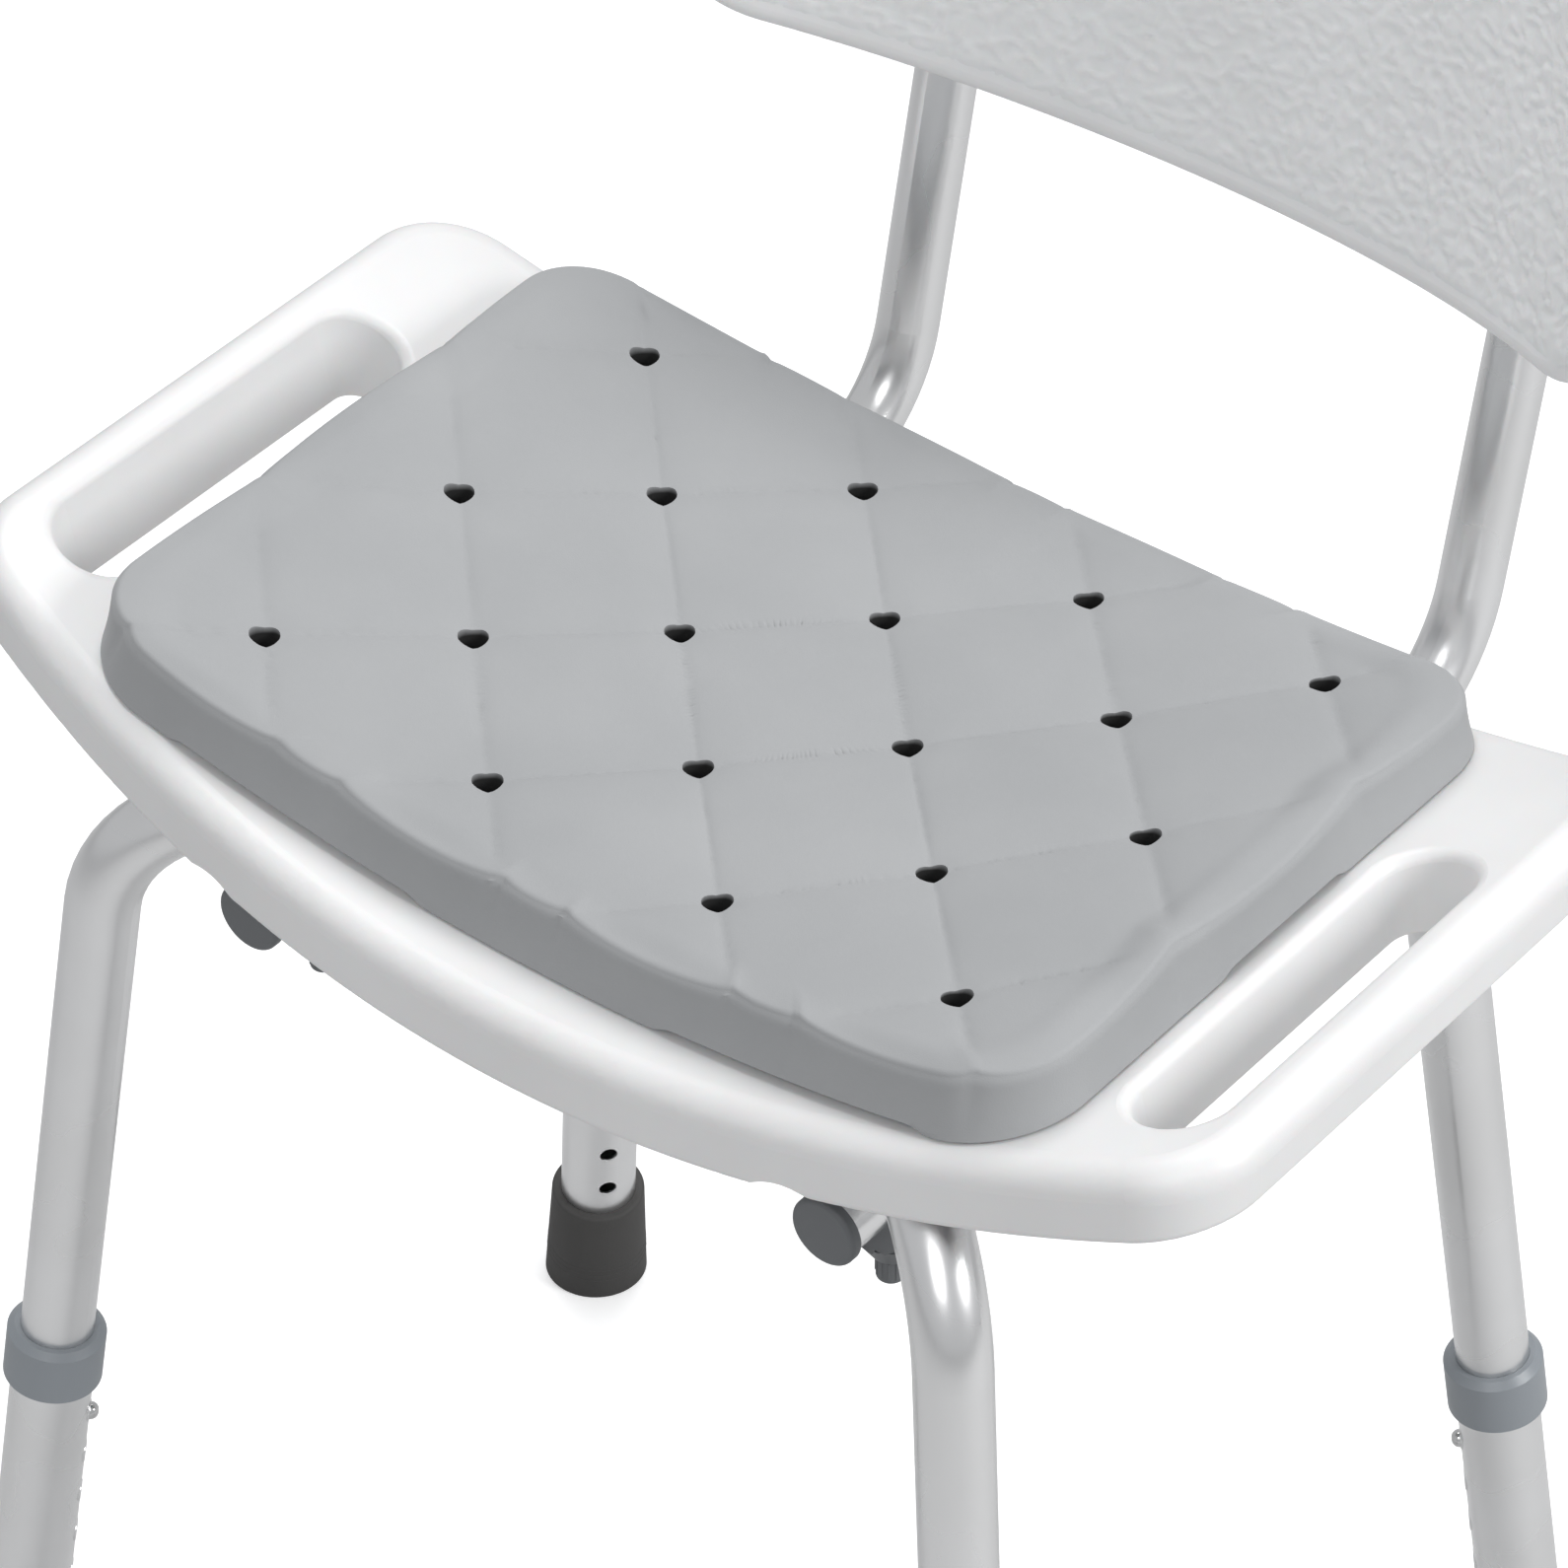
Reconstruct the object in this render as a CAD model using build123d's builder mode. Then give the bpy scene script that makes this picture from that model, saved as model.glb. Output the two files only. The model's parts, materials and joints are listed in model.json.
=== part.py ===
from build123d import *
from math import cos, radians, sin, sqrt, tan
import os

os.makedirs("parts", exist_ok=True)

# A shower chair: a dished plastic seat with hand grips, a lift-off foam pad, a curved backrest on two
# bent tubes, and two crossed tube frames that stand on four telescoping legs.
#
# All sizes are in millimetres and heights are above the floor. The pieces are drawn about the middle
# of the seat (X to the right seen from the front, Y to the rear, Z up). TO_FOOTPRINT then moves them
# so that the origin lies on the floor under the middle of the whole chair.

# ---- Driving dimensions -------------------------------------------------------------------------

# Seat panel
SEAT_WIDTH = 506.0
SEAT_FRONT = -160.0
SEAT_REAR = 134.0
FRONT_BOW = 38.0
REAR_BOW = 16.0
SEAT_TOP = 478.0
SEAT_EDGE = 28.0
SEAT_CORNER = 34.0
EDGE_ROUND = 10.0
DISH_RADIUS = 714.0
SKIN = 4.0
WALL = 5.0
CAVITY_HALF_WIDTH = 184.0
RIB = 3.0
RIB_BOTTOM = 470.0

# Hand-grip slots
SLOT_X = 217.0
SLOT_ROUND = 4.0
SLOT_Y = -24.5
SLOT_LENGTH = 141.0
SLOT_WIDTH = 17.0
SLOT_FLARE = 13.0

# Foam pad
PAD_WIDTH = 376.0
PAD_FRONT = -135.0
PAD_REAR = 131.0
PAD_THICKNESS = 24.0
PAD_CORNER = 28.0
PAD_GAP = 0.3

# Crossed leg frames
LEG_Y = -10.25
DIAGONAL = 36.9
SPLAY = 8.0
LEG_FLOOR_RADIUS = 277.2
UPPER_R = 12.7
UPPER_WALL = 1.2
RUN_Z = 455.0
LEG_BEND = 49.0
FLAT_THICKNESS = 12.6
FLAT_WIDTH = 35.2
FLAT_HALF = 20.0
FLAT_START = 46.0

# Lower legs; places along a leg are measured up its axis from the floor
LOWER_R = 14.3
LOWER_WALL = 1.2
LOWER_BOTTOM = 10.5
LOWER_TOP = 219.0
UPPER_BOTTOM = 142.8
BUTTON_AT = 182.8
HOLE_PITCH = 20.0
HOLE_COUNT = 7
COLLAR_R = 17.2
COLLAR_BOTTOM = 201.0
COLLAR_TOP = 223.0
FOOT_TOP = 48.0
FOOT_TOP_R = 17.8
FOOT_BOTTOM_R = 20.0
FOOT_FLOOR = 9.0

# Snap buttons
BUTTON_R = 3.2
BUTTON_TIP = 17.4
BUTTON_FLANGE_R = 4.5

# Back tubes and backrest
BACK_X = 118.0
BACK_Z = 431.0
BACK_R = 11.1
BACK_WALL = 1.2
BACK_FRONT = -130.0
BACK_CORNER_Y = 204.4
BACK_LEAN = 11.9
BACK_BEND = 50.0
PANEL_WIDTH = 384.0
PANEL_HEIGHT = 202.0
PANEL_THICKNESS = 22.0
PANEL_RADIUS = 280.0
PANEL_BOTTOM_Z = 571.0
PANEL_FRONT = -13.0
PANEL_CORNER = 38.0
PANEL_EDGE_RISE = 18.0
SLEEVE_BOTTOM = 18.0
SLEEVE_TOP = 162.0
SLEEVE_WIDTH = 34.0
SLEEVE_REAR = 15.5
TUBE_IN_SLEEVE = 150.0
SCREW_HEIGHTS = (55.0, 125.0)

# Clamps, one under each crossing of a leg frame and a back tube
STUD_R = 3.0
STUD_HOLE_R = 3.3
STUD_TOP = 480.0
INSERT_BOTTOM = 469.0
INSERT_TOP = 481.0
INSERT_R = 4.5
SADDLE_BOTTOM = 409.8
SADDLE_TOP = 426.0
KNOB_TOP = 409.5
KNOB_WAIST = 398.0
KNOB_BOTTOM = 387.5
KNOB_R = 14.0

FIT = 0.05
TO_FOOTPRINT = Location((0, -43.28, 0))

# ---- Derived places -----------------------------------------------------------------------------

splay_sin = sin(radians(SPLAY))
splay_cos = cos(radians(SPLAY))
diagonal_cos = cos(radians(DIAGONAL))
diagonal_sin = sin(radians(DIAGONAL))
lean_tan = tan(radians(BACK_LEAN))
crossing_offset = BACK_X * tan(radians(DIAGONAL))
seat_bottom = SEAT_TOP - SEAT_EDGE

corners = {
    "front_left": (-1, -1),
    "front_right": (1, -1),
    "rear_left": (-1, 1),
    "rear_right": (1, 1),
}
sides = {"left": -1, "right": 1}


def write(piece, name):
    """Label a finished piece, move it into the chair's frame and write its STEP file."""
    placed = piece.moved(TO_FOOTPRINT)
    placed.label = name
    export_step(placed, f"parts/{name}.step")


def dish(x):
    """Rise of the dished seat at a distance x from its middle."""
    return DISH_RADIUS - sqrt(DISH_RADIUS**2 - x**2)


def crossing(corner):
    """Plan position where a leg frame passes over a back tube."""
    side, end = corners[corner]
    return side * BACK_X, LEG_Y + end * crossing_offset


def frame_plane(slant):
    """Upright plane of a leg frame: local X along its diagonal, local Y up."""
    along = (diagonal_cos, slant * diagonal_sin, 0)
    normal = (slant * diagonal_sin, -diagonal_cos, 0)
    return Plane(origin=(0, LEG_Y, 0), x_dir=along, z_dir=normal)


def leg_plane(corner, up=0.0):
    """Plane square to a leg, up its axis from the floor: local X inward, local Z up the leg."""
    side, end = corners[corner]
    out_x = side * diagonal_cos
    out_y = end * diagonal_sin
    reach = LEG_FLOOR_RADIUS - up * splay_sin
    origin = (out_x * reach, LEG_Y + out_y * reach, up * splay_cos)
    inward = (-out_x * splay_cos, -out_y * splay_cos, -splay_sin)
    upward = (-out_x * splay_sin, -out_y * splay_sin, splay_cos)
    return Plane(origin=origin, x_dir=inward, z_dir=upward)


def radial_plane(corner, up):
    """Plane on a leg's axis facing inward, for holes and buttons that point at the middle."""
    level = leg_plane(corner, up)
    return Plane(origin=level.origin, x_dir=level.z_dir, z_dir=level.x_dir)


# ---- Seat panel ---------------------------------------------------------------------------------


def dish_band(low, high):
    """Draw the band between two dish curves that pass low and high at the middle of the seat."""
    reach = SEAT_WIDTH / 2 + 15
    rise = dish(reach)
    with BuildLine() as band:
        ThreePointArc((-reach, low + rise), (0, low), (reach, low + rise))
        Line((reach, low + rise), (reach, high + rise))
        ThreePointArc((reach, high + rise), (0, high), (-reach, high + rise))
        Line((-reach, high + rise), (-reach, low + rise))
    make_face(band.edges())


def bowed_outline(half, front, front_bow, rear, rear_bow, corner_radius):
    """Draw a plan with straight sides, bowed front and rear edges and round corners."""
    with BuildLine() as outline:
        ThreePointArc((-half, front + front_bow), (0, front), (half, front + front_bow))
        Line((half, front + front_bow), (half, rear - rear_bow))
        ThreePointArc((half, rear - rear_bow), (0, rear), (-half, rear - rear_bow))
        Line((-half, rear - rear_bow), (-half, front + front_bow))
    make_face(outline.edges())
    fillet(vertices(), corner_radius)


def seat_outline(inset):
    """Draw the plan of the seat, drawn in by inset all round."""
    bowed_outline(
        SEAT_WIDTH / 2 - inset,
        SEAT_FRONT + inset,
        FRONT_BOW,
        SEAT_REAR - inset,
        REAR_BOW,
        SEAT_CORNER - inset,
    )


def dish_faces(part):
    """The lower and upper dished faces of a panel, lower first."""
    return part.faces().filter_by(GeomType.CYLINDER).sort_by(SortBy.AREA)[-2:].sort_by(Axis.Z)


# The hollow under the seat skin, less the ribs, rails and bosses that stay standing in it.
with BuildPart() as hollow:
    with BuildSketch(Plane.XZ):
        dish_band(seat_bottom - 30, SEAT_TOP - SKIN)
    extrude(amount=250, both=True)
    with BuildSketch(Plane.XY):
        seat_outline(WALL)
        Rectangle(2 * CAVITY_HALF_WIDTH, 400, mode=Mode.INTERSECT)
    extrude(amount=600, mode=Mode.INTERSECT)
    # Ribs along and across, clear above the leg frames
    for rib_x in (-150, -62, -30, 30, 62, 150):
        with Locations((rib_x, 0, RIB_BOTTOM)):
            Box(RIB, 400, 60, align=(Align.CENTER, Align.CENTER, Align.MIN), mode=Mode.SUBTRACT)
    for rib_y in (-118, -76, -34, 14, 58, 104):
        with Locations((0, rib_y, RIB_BOTTOM)):
            Box(400, RIB, 60, align=(Align.CENTER, Align.CENTER, Align.MIN), mode=Mode.SUBTRACT)
    # Rails on both sides of each frame's run, and a boss over each crossing
    for side, end in corners.values():
        turn = end * side * DIAGONAL
        for offset in (-19, 19):
            along = 110
            centre_x = side * diagonal_cos * along - offset * sin(radians(turn))
            centre_y = LEG_Y + end * diagonal_sin * along + offset * cos(radians(turn))
            with Locations(Location((centre_x, centre_y, seat_bottom + 5), (0, 0, turn))):
                Box(100, RIB, 80, align=(Align.CENTER, Align.CENTER, Align.MIN), mode=Mode.SUBTRACT)
    for corner in corners:
        boss_x, boss_y = crossing(corner)
        with Locations((boss_x, boss_y, seat_bottom - 10)):
            Cylinder(15, 90, align=(Align.CENTER, Align.CENTER, Align.MIN), mode=Mode.SUBTRACT)

with BuildPart() as seat_panel:
    with BuildSketch(Plane.XZ):
        dish_band(seat_bottom, SEAT_TOP)
    extrude(amount=250, both=True)
    with BuildSketch(Plane.XY):
        seat_outline(0)
    extrude(amount=600, mode=Mode.INTERSECT)
    lower_face, upper_face = dish_faces(seat_panel)
    fillet(upper_face.edges(), EDGE_ROUND)
    fillet(dish_faces(seat_panel)[0].edges(), 3)
    # Hand-grip slots, flared towards the top and rolled over at the rim
    with BuildSketch(Plane.XY.offset(seat_bottom + dish(SLOT_X) - 8)):
        with Locations((-SLOT_X, SLOT_Y), (SLOT_X, SLOT_Y)):
            SlotOverall(SLOT_LENGTH, SLOT_WIDTH, rotation=90)
    extrude(amount=60, taper=-SLOT_FLARE, mode=Mode.SUBTRACT)
    upper_face = dish_faces(seat_panel)[1]
    fillet([edge for wire in upper_face.inner_wires() for edge in wire.edges()], SLOT_ROUND)
    # Hollow underside
    add(hollow.part, mode=Mode.SUBTRACT)
    # Channels that seat the leg frames
    for slant in (-1, 1):
        with BuildSketch(Plane(frame_plane(slant).origin + Vector(0, 0, RUN_Z), z_dir=frame_plane(slant).x_dir)):
            Circle(UPPER_R + FIT)
        extrude(amount=178, both=True, mode=Mode.SUBTRACT)
    # Blind holes for the threaded inserts
    for corner in corners:
        boss_x, boss_y = crossing(corner)
        with Locations((boss_x, boss_y, RUN_Z)):
            Cylinder(
                INSERT_R,
                INSERT_TOP + 0.5 - RUN_Z,
                align=(Align.CENTER, Align.CENTER, Align.MIN),
                mode=Mode.SUBTRACT,
            )
    # Arches in the skirt over the back tubes
    for side in sides.values():
        for arch_y in (SEAT_FRONT + 8, SEAT_REAR - 8):
            with BuildSketch(Plane.XZ.offset(-arch_y)):
                with Locations((side * BACK_X, seat_bottom + dish(BACK_X) - 16)):
                    Circle(20)
            extrude(amount=14, both=True, mode=Mode.SUBTRACT)
    # Drain holes
    with BuildSketch(Plane.XY.offset(seat_bottom)):
        with Locations((0, -47.8), (0, 47.8), (-139.5, 0), (139.5, 0)):
            Circle(4)
        with GridLocations(93, 191.4, 2, 2):
            Circle(4)
    extrude(amount=80, mode=Mode.SUBTRACT)
write(seat_panel.part, "seat_panel")

# ---- Foam pad -----------------------------------------------------------------------------------

with BuildPart() as seat_pad:
    with BuildSketch(Plane.XZ):
        dish_band(SEAT_TOP + PAD_GAP, SEAT_TOP + PAD_THICKNESS)
    extrude(amount=250, both=True)
    with BuildSketch(Plane.XY):
        bowed_outline(PAD_WIDTH / 2, PAD_FRONT, 4, PAD_REAR, 8, PAD_CORNER)
    extrude(amount=600, mode=Mode.INTERSECT)
    fillet(dish_faces(seat_pad)[1].edges(), 4)
write(seat_pad.part, "seat_pad")

# ---- Crossed leg frames -------------------------------------------------------------------------


def tube_ring(radius, wall):
    """Draw the section of a round tube."""
    Circle(radius)
    Circle(radius - wall, mode=Mode.SUBTRACT)


def frame_arm(plane, end):
    """Sweep one arm of a leg frame: leg, bend and run, up to where the tube is flattened."""
    corner_t = LEG_FLOOR_RADIUS - RUN_Z * splay_sin / splay_cos
    foot_t = LEG_FLOOR_RADIUS - UPPER_BOTTOM * splay_sin
    foot_z = UPPER_BOTTOM * splay_cos
    with BuildLine(plane) as path:
        FilletPolyline(
            (end * foot_t, foot_z),
            (end * corner_t, RUN_Z),
            (end * FLAT_START, RUN_Z),
            radius=LEG_BEND,
        )
    with BuildSketch(Plane(path.line @ 0, z_dir=path.line % 0)) as section:
        tube_ring(UPPER_R, UPPER_WALL)
    sweep(section.sketch, path=path.line)


def frame_flat(plane, lift, shrink, mode):
    """Loft the flattened middle of a leg frame from the round tube to an oval and back."""
    along = plane.x_dir
    across = Vector(-along.Y, along.X, 0)
    for end in (-1, 1):
        round_at = plane.origin + along * (end * FLAT_START) + Vector(0, 0, RUN_Z)
        oval_at = plane.origin + along * (end * FLAT_HALF) + Vector(0, 0, RUN_Z + lift)
        with BuildSketch(Plane(round_at, x_dir=across, z_dir=along)) as round_end:
            Circle(UPPER_R - shrink)
        with BuildSketch(Plane(oval_at, x_dir=across, z_dir=along)) as oval_end:
            Ellipse(FLAT_WIDTH / 2 - shrink, FLAT_THICKNESS / 2 - shrink)
        loft([round_end.sketch, oval_end.sketch], mode=mode)
    middle = plane.origin + Vector(0, 0, RUN_Z + lift)
    with BuildSketch(Plane(middle, x_dir=across, z_dir=along)) as oval:
        Ellipse(FLAT_WIDTH / 2 - shrink, FLAT_THICKNESS / 2 - shrink)
    extrude(oval.sketch, amount=FLAT_HALF, both=True, mode=mode)


# The first frame runs front-left to rear-right and lies on top where the two cross.
frames = {"leg_frame_upper": (1, 1), "leg_frame_lower": (-1, -1)}
for name, (slant, level) in frames.items():
    plane = frame_plane(slant)
    lift = level * (UPPER_R - FLAT_THICKNESS / 2)
    with BuildPart() as leg_frame:
        frame_arm(plane, 1)
        frame_arm(plane, -1)
        frame_flat(plane, lift, 0, Mode.ADD)
        frame_flat(plane, lift, UPPER_WALL, Mode.SUBTRACT)
        # Clamp stud holes, the cross bolt hole and the two snap button holes
        for corner, (side, end) in corners.items():
            if side * end != slant:
                continue
            hole_x, hole_y = crossing(corner)
            with Locations((hole_x, hole_y, RUN_Z)):
                Cylinder(STUD_HOLE_R, 40, mode=Mode.SUBTRACT)
            with BuildSketch(radial_plane(corner, BUTTON_AT)):
                Circle(BUTTON_R + 0.3)
            extrude(amount=20, mode=Mode.SUBTRACT)
        with Locations((0, LEG_Y, RUN_Z)):
            Cylinder(STUD_HOLE_R, 40, mode=Mode.SUBTRACT)
    write(leg_frame.part, name)

# ---- Cross bolt ---------------------------------------------------------------------------------

cross_top = RUN_Z + UPPER_R
cross_bottom = RUN_Z - UPPER_R
WASHER = 1.2
HEX_RADIUS = 5.7

with BuildPart() as cross_bolt:
    with BuildSketch(Plane((0, LEG_Y, cross_top))):
        RegularPolygon(HEX_RADIUS, 6)
    extrude(amount=4)
    with BuildSketch(Plane((0, LEG_Y, cross_top))):
        Circle(STUD_R)
    extrude(amount=-34)
write(cross_bolt.part, "cross_bolt")

with BuildPart() as cross_washer:
    with BuildSketch(Plane((0, LEG_Y, cross_bottom))):
        Circle(6)
        Circle(STUD_R + FIT, mode=Mode.SUBTRACT)
    extrude(amount=-WASHER)
write(cross_washer.part, "cross_washer")

with BuildPart() as cross_nut:
    with BuildSketch(Plane((0, LEG_Y, cross_bottom - WASHER))):
        RegularPolygon(HEX_RADIUS, 6)
        Circle(STUD_R + FIT, mode=Mode.SUBTRACT)
    extrude(amount=-5)
write(cross_nut.part, "cross_nut")

# ---- Lower legs ---------------------------------------------------------------------------------

for corner in corners:
    ground = leg_plane(corner)
    with BuildPart() as lower_leg:
        with BuildSketch(leg_plane(corner, LOWER_BOTTOM)):
            tube_ring(LOWER_R, LOWER_WALL)
        extrude(amount=LOWER_TOP - LOWER_BOTTOM)
        for step in range(HOLE_COUNT):
            with BuildSketch(radial_plane(corner, BUTTON_AT - step * HOLE_PITCH)):
                Circle(BUTTON_R + 0.4)
            extrude(amount=20, mode=Mode.SUBTRACT)
    write(lower_leg.part, f"lower_leg_{corner}")

    with BuildPart() as leg_collar:
        with BuildSketch(leg_plane(corner, COLLAR_BOTTOM)):
            Circle(COLLAR_R)
        extrude(amount=COLLAR_TOP - COLLAR_BOTTOM)
        upright = ground.z_dir
        rim = leg_collar.edges().group_by(Axis((0, 0, 0), upright))[-1]
        chamfer(rim, 2.4)
        with BuildSketch(leg_plane(corner, COLLAR_BOTTOM)):
            Circle(LOWER_R + FIT)
        extrude(amount=LOWER_TOP + 0.2 - COLLAR_BOTTOM, mode=Mode.SUBTRACT)
        with BuildSketch(leg_plane(corner, COLLAR_BOTTOM)):
            Circle(UPPER_R + FIT)
        extrude(amount=COLLAR_TOP - COLLAR_BOTTOM, mode=Mode.SUBTRACT)
    write(leg_collar.part, f"leg_collar_{corner}")

    with BuildPart() as foot:
        with BuildSketch(leg_plane(corner, -8)):
            Circle(FOOT_BOTTOM_R)
        with BuildSketch(leg_plane(corner, FOOT_TOP)):
            Circle(FOOT_TOP_R)
        loft()
        top_rim = foot.edges().group_by(Axis((0, 0, 0), upright))[-1]
        fillet(top_rim, 1.5)
        with BuildSketch(leg_plane(corner, FOOT_FLOOR)):
            Circle(LOWER_R + FIT)
        extrude(amount=60, mode=Mode.SUBTRACT)
        split(bisect_by=Plane.XY, keep=Keep.TOP)
    write(foot.part, f"foot_{corner}")

    with BuildPart() as foot_washer:
        with BuildSketch(leg_plane(corner, FOOT_FLOOR)):
            Circle(LOWER_R)
            Circle(4, mode=Mode.SUBTRACT)
        extrude(amount=LOWER_BOTTOM - FOOT_FLOOR)
    write(foot_washer.part, f"foot_washer_{corner}")

    with BuildPart() as snap_button:
        with BuildSketch(radial_plane(corner, BUTTON_AT)) as base:
            Circle(BUTTON_R)
        extrude(amount=BUTTON_TIP)
        inward = ground.x_dir
        tip = snap_button.edges().group_by(Axis((0, 0, 0), inward))[-1]
        fillet(tip, BUTTON_R - 0.4)
        with BuildSketch(radial_plane(corner, BUTTON_AT)):
            Circle(BUTTON_FLANGE_R)
        extrude(amount=10.3)
        with BuildSketch(radial_plane(corner, BUTTON_AT)):
            Circle(BUTTON_FLANGE_R + 1)
        extrude(amount=9.5, mode=Mode.SUBTRACT)
    write(snap_button.part, f"snap_button_{corner}")

    # A bent strip inside the upper tube: one leaf behind the button, one against the far wall
    strip_plane = Plane(leg_plane(corner, BUTTON_AT).origin, x_dir=ground.x_dir, z_dir=-ground.y_dir)
    with BuildPart() as button_spring:
        with BuildSketch(strip_plane):
            with BuildLine():
                FilletPolyline((9, -7), (9, 8), (0, 36), (-9.8, 2), radius=2.5)
            trace(line_width=0.8)
        extrude(amount=3.5, both=True)
    write(button_spring.part, f"button_spring_{corner}")

# ---- Back tubes ---------------------------------------------------------------------------------

panel_y = BACK_CORNER_Y + (PANEL_BOTTOM_Z - BACK_Z) * lean_tan
lean_up = Vector(0, sin(radians(BACK_LEAN)), cos(radians(BACK_LEAN)))
lean_back = Vector(0, cos(radians(BACK_LEAN)), -sin(radians(BACK_LEAN)))
panel_origin = Vector(0, panel_y, PANEL_BOTTOM_Z)

for name, side in sides.items():
    tube_top = panel_origin + lean_up * TUBE_IN_SLEEVE
    with BuildPart() as back_tube:
        with BuildLine() as path:
            FilletPolyline(
                (side * BACK_X, BACK_FRONT, BACK_Z),
                (side * BACK_X, BACK_CORNER_Y, BACK_Z),
                (side * BACK_X, tube_top.Y, tube_top.Z),
                radius=BACK_BEND,
            )
        with BuildSketch(Plane(path.line @ 0, z_dir=path.line % 0)):
            tube_ring(BACK_R, BACK_WALL)
        sweep(path=path.line)
        for end in (-1, 1):
            with Locations((side * BACK_X, LEG_Y + end * crossing_offset, BACK_Z)):
                Cylinder(STUD_HOLE_R, 40, mode=Mode.SUBTRACT)
        for height in SCREW_HEIGHTS:
            screw_at = panel_origin + Vector(side * BACK_X, 0, 0) + lean_up * height
            with BuildSketch(Plane(screw_at, z_dir=lean_back)):
                Circle(2.05)
            extrude(amount=20, mode=Mode.SUBTRACT)
    write(back_tube.part, f"back_tube_{name}")

    with BuildPart() as end_cap:
        with BuildSketch(Plane((side * BACK_X, BACK_FRONT, BACK_Z), z_dir=(0, -1, 0))):
            Circle(BACK_R + 1.2)
        extrude(amount=4)
        fillet(end_cap.edges().sort_by(Axis.Y)[0], 1.6)
        with BuildSketch(Plane((side * BACK_X, BACK_FRONT, BACK_Z), z_dir=(0, 1, 0))):
            Circle(BACK_R - BACK_WALL - FIT)
        extrude(amount=14)
    write(end_cap.part, f"back_tube_cap_{name}")

# ---- Backrest panel -----------------------------------------------------------------------------

# Local frame of the backrest: local X across, local Y to the rear, local Z up the leaning tubes
panel_plane = Plane(panel_origin, x_dir=(1, 0, 0), z_dir=lean_up)
arc_centre_y = PANEL_FRONT - PANEL_RADIUS
half_panel = PANEL_WIDTH / 2

with BuildPart() as backrest_panel:
    with BuildSketch(panel_plane):
        with Locations((0, arc_centre_y)):
            Circle(PANEL_RADIUS + PANEL_THICKNESS)
            Circle(PANEL_RADIUS, mode=Mode.SUBTRACT)
        with Locations((0, arc_centre_y + PANEL_RADIUS)):
            Rectangle(PANEL_WIDTH + 20, 260, mode=Mode.INTERSECT)
    extrude(amount=PANEL_HEIGHT + 30, both=True)
    with BuildSketch(Plane(panel_origin, x_dir=(1, 0, 0), z_dir=-lean_back)):
        with BuildLine():
            ThreePointArc((-half_panel, PANEL_EDGE_RISE), (0, 0), (half_panel, PANEL_EDGE_RISE))
            Line((half_panel, PANEL_EDGE_RISE), (half_panel, PANEL_HEIGHT - 14))
            ThreePointArc(
                (half_panel, PANEL_HEIGHT - 14), (0, PANEL_HEIGHT), (-half_panel, PANEL_HEIGHT - 14)
            )
            Line((-half_panel, PANEL_HEIGHT - 14), (-half_panel, PANEL_EDGE_RISE))
        make_face()
        fillet(vertices(), PANEL_CORNER)
    extrude(amount=300, both=True, mode=Mode.INTERSECT)
    faces_by_size = backrest_panel.faces().sort_by(SortBy.AREA)
    fillet(faces_by_size[-1].edges() + faces_by_size[-2].edges(), 7)
    # Sleeves behind the panel that slip down over the back tubes
    with BuildSketch(panel_plane.offset(SLEEVE_BOTTOM)):
        for side in sides.values():
            with Locations((side * BACK_X, (SLEEVE_REAR - 20) / 2)):
                RectangleRounded(SLEEVE_WIDTH, SLEEVE_REAR + 20, 6)
        with Locations((0, arc_centre_y)):
            Circle(PANEL_RADIUS + 8, mode=Mode.SUBTRACT)
    extrude(amount=SLEEVE_TOP - SLEEVE_BOTTOM)
    with BuildSketch(panel_plane.offset(SLEEVE_BOTTOM)):
        with Locations((-BACK_X, 0), (BACK_X, 0)):
            Circle(BACK_R + FIT)
    extrude(amount=TUBE_IN_SLEEVE + 0.5 - SLEEVE_BOTTOM, mode=Mode.SUBTRACT)
    for side in sides.values():
        for height in SCREW_HEIGHTS:
            screw_at = panel_origin + Vector(side * BACK_X, 0, 0) + lean_up * height
            with BuildSketch(Plane(screw_at, z_dir=lean_back)):
                Circle(2.05)
            extrude(amount=20, mode=Mode.SUBTRACT)
write(backrest_panel.part, "backrest_panel")

with BuildPart() as backrest_screws:
    for side in sides.values():
        for height in SCREW_HEIGHTS:
            screw_at = panel_origin + Vector(side * BACK_X, 0, 0) + lean_up * height
            with BuildSketch(Plane(screw_at + lean_back * 7, z_dir=lean_back)):
                Circle(2)
            extrude(amount=SLEEVE_REAR - 7)
            with BuildSketch(Plane(screw_at + lean_back * SLEEVE_REAR, z_dir=lean_back)):
                Circle(4)
            extrude(amount=2.6, taper=20)
            with BuildSketch(Plane(screw_at + lean_back * (SLEEVE_REAR + 1), x_dir=(1, 0, 0), z_dir=lean_back)):
                Rectangle(4, 0.9)
                Rectangle(0.9, 4)
            extrude(amount=4, mode=Mode.SUBTRACT)
write(backrest_screws.part, "backrest_screws")

# ---- Clamps -------------------------------------------------------------------------------------

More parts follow.
